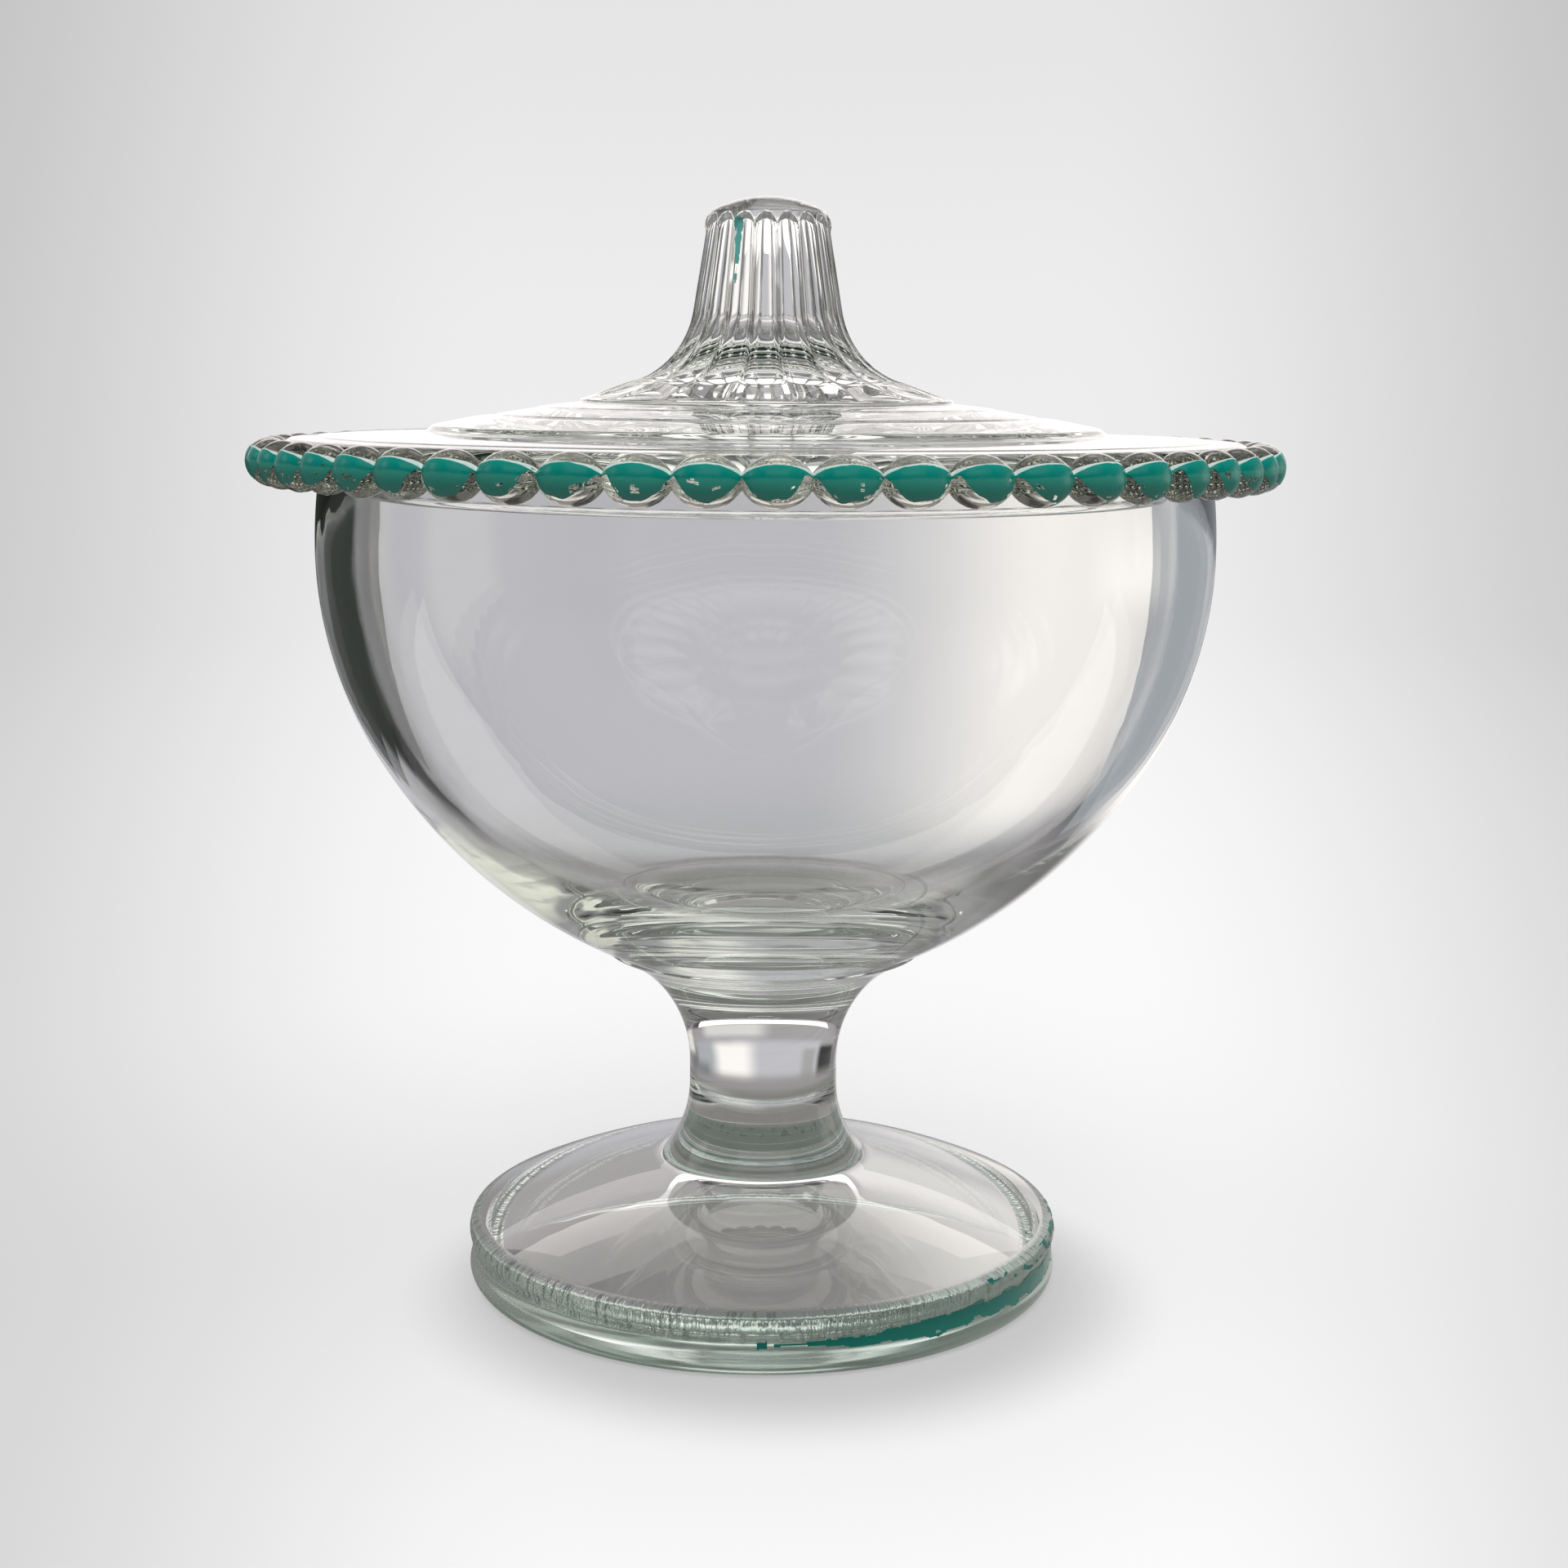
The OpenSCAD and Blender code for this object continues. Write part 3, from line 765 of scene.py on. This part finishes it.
def bead_enamel_material():
    """Green that is deep on the upper side of each bead, hazy below it, and pale along its top edge as
    a painted highlight.
    """
    material, n = new_material("bead_enamel_green")
    place = n.add("ShaderNodeTexCoord").outputs["Object"]
    x, y, z = coordinates(n, place)
    outward = maths(n, "SUBTRACT", from_axis(n, x, y), BEAD_RING_R * MM)
    up = maths(n, "ARCTAN2", maths(n, "SUBTRACT", z, BEAD_Z * MM), outward)
    turn = blotch(n, place, maths(n, "DEGREES", up), 7.0)
    green = mix(n, smooth_step(n, turn, 14.0, 6.0), BEAD_DEEP, BEAD_HAZY)
    worn = mix(n, smooth_step(n, turn, -14.0, -40.0), green, BEAD_LOW)
    highlighted = mix(n, smooth_step(n, turn, 38.5, 40.5), worn, BEAD_PAINTED_HIGHLIGHT)
    enamel_shader(n, place, highlighted)
    return material


# ---------------------------------------------------------------- studio

# What the glass sees round the table: azimuth and elevation of each panel's middle and its half
# sizes, in degrees (0 is behind the dish, 90 to its right), softness, and colour
PANELS = [
    (0, 42, 60, 30, 12, (0.36, 0.34, 0.35)),
    (0, 10, 60, 16, 8, (0.40, 0.38, 0.40)),
    (-10, -11, 26, 14, 4, (0.58, 0.57, 0.61)),
    (38, -9, 12, 11, 4, (0.46, 0.47, 0.50)),
    (43, -23, 8, 9, 4, (0.11, 0.14, 0.14)),
    (17, -10, 11, 11, 5, (1.1, 1.05, 1.02)),
    (72, 4, 16, 13, 4, (1.1, 1.05, 0.97)),
    (-27, -17, 5, 14, 3, (0.42, 0.41, 0.41)),
    (-46, -18, 10, 17, 3, (0.03, 0.032, 0.03)),
    (-85, 26, 12, 8, 4, (1.2, 1.2, 1.22)),
    (-18, 15, 18, 8, 4, (0.40, 0.385, 0.385)),
    (18, 15, 18, 8, 5, (0.78, 0.75, 0.74)),
    (12, 52, 14, 7, 3, (1.4, 1.35, 1.35)),
    (-32, 40, 6, 16, 3, (0.05, 0.05, 0.05)),
    (46, 40, 7, 22, 3, (0.05, 0.05, 0.05)),
    (180, 42, 50, 10, 5, (1.0, 0.98, 0.98)),
    (180, 10, 30, 14, 5, (0.03, 0.03, 0.03)),
    (-132, 15, 12, 30, 4, (0.05, 0.05, 0.05)),
    (128, 15, 12, 30, 4, (0.05, 0.05, 0.05)),
]
GROUND = (0.20, 0.19, 0.20)

CARD_DARK = (0.04, 0.045, 0.04)
CARD_GREY = (0.35, 0.37, 0.4)

# Cards beside and behind the dish: name, lower left and upper right corners in metres, and the
# colours at the left and right ends
CARDS = [
    ("dark_card", (-0.15, 0.03, 0.055), (-0.0695, 0.03, 0.116), CARD_DARK, CARD_DARK),
    ("grey_card", (0.0695, 0.03, 0.03), (0.15, 0.03, 0.116), CARD_GREY, CARD_GREY),
    ("pale_card", (-0.17, 0.2, 0.12), (0.17, 0.2, 0.25), (1.32, 1.25, 1.25), (1.5, 1.43, 1.4)),
]

# Backdrop, table, lamp and camera, with lengths in metres
BACKDROP_FLOOR_R = 0.9
BACKDROP_SWEEP_R = 0.6
BACKDROP_TOP = 2.4
BACKDROP_GLOW = 0.67
TABLE_HALF = 0.14
LAMP_PLACE = Vector((0.1, -0.2, 1.3))
LAMP_AIM = Vector((0, 0.1, 0))
LAMP_SIZE = 1.2
LAMP_POWER = 12
CAMERA_PLACE = (0, -0.3335, 0.1276)
CAMERA_LENS = 55.142
CAMERA_PITCH = math.radians(9.694)
CAMERA_PAN = math.radians(0.465)
CAMERA_ROLL = math.radians(0.431)

# The table's glowing colours, from the furthest to the nearest, darker near the foot as a painted
# shadow, and a painted pool of light where light falls on its right
TABLE_FAR = (0.33, 0.315, 0.32)
TABLE_MIDDLE_SHADOW = (0.235, 0.23, 0.22)
TABLE_NEAR_SHADOW = (0.245, 0.235, 0.23)
TABLE_RIGHT = (0.62, 0.60, 0.58)


def make_world():
    """The room round the dish: soft panels on an even ground."""
    world = bpy.data.worlds.new("studio")
    bpy.context.scene.world = world
    world.use_nodes = True
    n = Nodes(world.node_tree)
    x, y, z = coordinates(n, n.add("ShaderNodeTexCoord").outputs["Generated"])
    elevation = maths(n, "DEGREES", maths(n, "ARCSINE", z))
    turn = maths(n, "DEGREES", maths(n, "ARCTAN2", x, y))
    mixed = GROUND
    for az, el, half_az, half_el, soft, light in PANELS:
        off = maths(n, "SUBTRACT", turn, float(az))
        wrapped = n.add("ShaderNodeMath", {0: off, 1: 180.0, 2: -180.0}, operation="WRAP").outputs[0]
        side = smooth_step(n, maths(n, "ABSOLUTE", wrapped), half_az + soft, half_az - soft)
        up = smooth_step(n, maths(n, "ABSOLUTE", maths(n, "SUBTRACT", elevation, float(el))),
                         half_el + soft, half_el - soft)
        mixed = mix(n, product(n, side, up), mixed, light)
    back = n.add("ShaderNodeBackground", {"Color": mixed, "Strength": 1.0})
    n.add("ShaderNodeOutputWorld", {"Surface": back.outputs["Background"]})


def stage_mesh(name, points, faces, material):
    """Scenery, with its points in metres."""
    mesh = bpy.data.meshes.new(name)
    mesh.from_pydata(points, [], faces)
    mesh.shade_smooth()
    mesh.materials.append(material)
    made = bpy.data.objects.new(name, mesh)
    bpy.context.scene.collection.objects.link(made)
    return made


def backdrop_material():
    """Pale, with its own glow: a painted pool of light that is darker to the sides and high up, and a
    painted contact shadow where the foot stands.
    """
    material, n = new_material("pale_backdrop")
    place = n.add("ShaderNodeNewGeometry").outputs["Position"]
    x, y, z = coordinates(n, place)
    # Painted pool of light: the glow is darker to the sides and high up
    behind = maths(n, "MAXIMUM", maths(n, "ADD", y, 0.1), 0.0)
    width = maths(n, "ADD", product(n, behind, 0.36), 0.1)
    aside = maths(n, "DIVIDE", maths(n, "ABSOLUTE", maths(n, "SUBTRACT", x, 0.012)), width)
    side = eased(n, aside, 0.3, 1.05, 1.0, 0.57)
    high = eased(n, z, 0.1, 0.5, 1.0, 0.92)
    # Painted contact shadow round the foot
    away = n.add("ShaderNodeVectorMath", {0: place, 1: (0.003, -0.009, 0.0)}, operation="DISTANCE")
    painted_contact_shadow = eased(n, away.outputs["Value"], 0.036, 0.056, 0.6, 1.0)
    fall = product(n, side, high, painted_contact_shadow, BACKDROP_GLOW)
    diffuse = n.add("ShaderNodeBsdfDiffuse", {"Color": (0.35, 0.35, 0.35, 1)})
    glow = n.add("ShaderNodeEmission", {"Color": (1, 1, 1, 1), "Strength": fall})
    both = n.add("ShaderNodeAddShader", {0: diffuse.outputs[0], 1: glow.outputs[0]})
    n.add("ShaderNodeOutputMaterial", {"Surface": both.outputs[0]})
    return material


def make_backdrop():
    """A round pale floor that sweeps up into a wall. Only the camera sees it."""
    sweep = arc(BACKDROP_FLOOR_R, BACKDROP_SWEEP_R, BACKDROP_SWEEP_R, -90, 0, 16)
    wall_r = BACKDROP_FLOOR_R + BACKDROP_SWEEP_R
    outline = [(0, 0), (0.05, 0), (0.3, 0)] + sweep + [(wall_r, BACKDROP_TOP)]
    columns = 64
    turns = np.linspace(0, 2 * math.pi, columns, endpoint=False)
    points = [(r * math.sin(a), -r * math.cos(a), z) for r, z in outline for a in turns]
    faces = []
    for low in range(0, (len(outline) - 1) * columns, columns):
        for c in range(columns):
            d = (c + 1) % columns
            faces.append((low + c, low + d, low + columns + d, low + columns + c))
    backdrop = stage_mesh("backdrop", points, faces, backdrop_material())
    backdrop.visible_transmission = False
    backdrop.visible_glossy = False
    backdrop.visible_diffuse = False
    backdrop.visible_shadow = False


def glass_only(name, corners, material, n, colour, gone):
    """A flat sheet that only the glass sees. It glows in its colour, and is clear where gone is 1."""
    glow = n.add("ShaderNodeEmission", {"Color": colour}).outputs[0]
    clear = n.add("ShaderNodeBsdfTransparent").outputs[0]
    shown = n.add("ShaderNodeMixShader", {0: gone, 1: glow, 2: clear}).outputs[0]
    n.add("ShaderNodeOutputMaterial", {"Surface": shown})
    sheet = stage_mesh(name, corners, [(0, 1, 2, 3)], material)
    sheet.visible_camera = False
    sheet.visible_diffuse = False
    sheet.visible_shadow = False


def table_colour(n, place, away):
    """Greys that change with the distance from the foot's front, darker near it as a painted shadow,
    and a painted pool of light on the right.
    """
    front = n.add("ShaderNodeVectorMath", {0: place, 1: (0.0, -0.03, 0.0)}, operation="DISTANCE")
    shade = front.outputs["Value"]
    # Painted shadow of the dish near the foot's front
    near = mix(n, smooth_step(n, shade, 0.052, 0.062), TABLE_NEAR_SHADOW, TABLE_MIDDLE_SHADOW)
    grey = mix(n, smooth_step(n, shade, 0.09, 0.105), near, TABLE_FAR)
    right = smooth_step(n, coordinates(n, place)[0], 0.009, 0.032)
    return mix(n, product(n, right, smooth_step(n, away, 0.075, 0.045)), grey, TABLE_RIGHT)


def make_table():
    """The grey table that the glass stands on. It glows, with a painted shadow near the foot. It fades
    out round the dish.
    """
    material, n = new_material("grey_table")
    place = n.add("ShaderNodeNewGeometry").outputs["Position"]
    away = n.add("ShaderNodeVectorMath", {0: place}, operation="LENGTH").outputs["Value"]
    colour = table_colour(n, place, away)
    corners = [(-TABLE_HALF, -TABLE_HALF, 0), (TABLE_HALF, -TABLE_HALF, 0),
               (TABLE_HALF, TABLE_HALF, 0), (-TABLE_HALF, TABLE_HALF, 0)]
    glass_only("table", corners, material, n, colour, smooth_step(n, away, 0.075, 0.125))


def make_card(name, low, high, left, right):
    """An upright card, from one colour at its left end to another at its right. It is clear to light
    that grazes it, so that the glass doesn't show it edge on."""
    (x0, y, z0), (x1, _, z1) = low, high
    material, n = new_material(name)
    across = coordinates(n, n.add("ShaderNodeNewGeometry").outputs["Position"])[0]
    colour = mix(n, smooth_step(n, across, x0, x1), left, right)
    grazing = n.add("ShaderNodeLayerWeight", {"Blend": 0.5}).outputs["Facing"]
    corners = [(x0, y, z0), (x1, y, z0), (x1, y, z1), (x0, y, z1)]
    glass_only(name, corners, material, n, colour, smooth_step(n, grazing, 0.6, 0.8))


def make_lamp():
    """A broad soft lamp overhead."""
    data = bpy.data.lights.new("overhead", "AREA")
    data.energy = LAMP_POWER
    data.size = LAMP_SIZE
    lamp = bpy.data.objects.new("overhead", data)
    lamp.location = LAMP_PLACE
    lamp.rotation_euler = (LAMP_AIM - LAMP_PLACE).to_track_quat("-Z", "Y").to_euler()
    lamp.visible_camera = False
    lamp.visible_transmission = False
    lamp.visible_glossy = False
    bpy.context.scene.collection.objects.link(lamp)


def make_camera():
    """In front of the dish and a little above its rim, looking slightly down."""
    data = bpy.data.cameras.new("camera")
    data.sensor_width = 36
    data.lens = CAMERA_LENS
    data.clip_start = 0.01
    camera = bpy.data.objects.new("camera", data)
    bpy.context.scene.collection.objects.link(camera)
    level = math.cos(CAMERA_PITCH)
    ahead = Vector((
        math.sin(CAMERA_PAN) * level, math.cos(CAMERA_PAN) * level, -math.sin(CAMERA_PITCH)))
    right = Vector((math.cos(CAMERA_PAN), -math.sin(CAMERA_PAN), 0))
    up = right.cross(ahead)
    turned_right = right * math.cos(CAMERA_ROLL) + up * math.sin(CAMERA_ROLL)
    turned_up = up * math.cos(CAMERA_ROLL) - right * math.sin(CAMERA_ROLL)
    turn = Matrix((turned_right, turned_up, -ahead)).transposed()
    camera.matrix_world = Matrix.Translation(CAMERA_PLACE) @ turn.to_4x4()
    bpy.context.scene.camera = camera


# ---------------------------------------------------------------- build

glass = glass_material()
bead_green = bead_enamel_material()
foot_green = enamel_material("foot_enamel_green", FOOT_DEEP, FOOT_HAZY, 6, 3)
knob_green = enamel_material("knob_enamel_green", KNOB_DEEP, KNOB_HAZY, 141, 147)
make_dish(glass)
make_lid(glass)
make_enamel("bead_enamel_film", [bead_film(b) for b in range(BEADS)], bead_green, LID, "bead_enamel")
make_enamel("knob_enamel_film", [knob_film()], knob_green, LID, "knob_enamel")
make_enamel("foot_enamel_film", [foot_film()], foot_green, DISH, "foot_enamel")
make_world()
make_backdrop()
make_table()
for card in CARDS:
    make_card(*card)
make_lamp()
make_camera()

BOUNCES = 24
scene = bpy.context.scene
scene.view_settings.view_transform = "Standard"
scene.cycles.max_bounces = BOUNCES
scene.cycles.transmission_bounces = BOUNCES
scene.cycles.glossy_bounces = BOUNCES
scene.cycles.transparent_max_bounces = BOUNCES
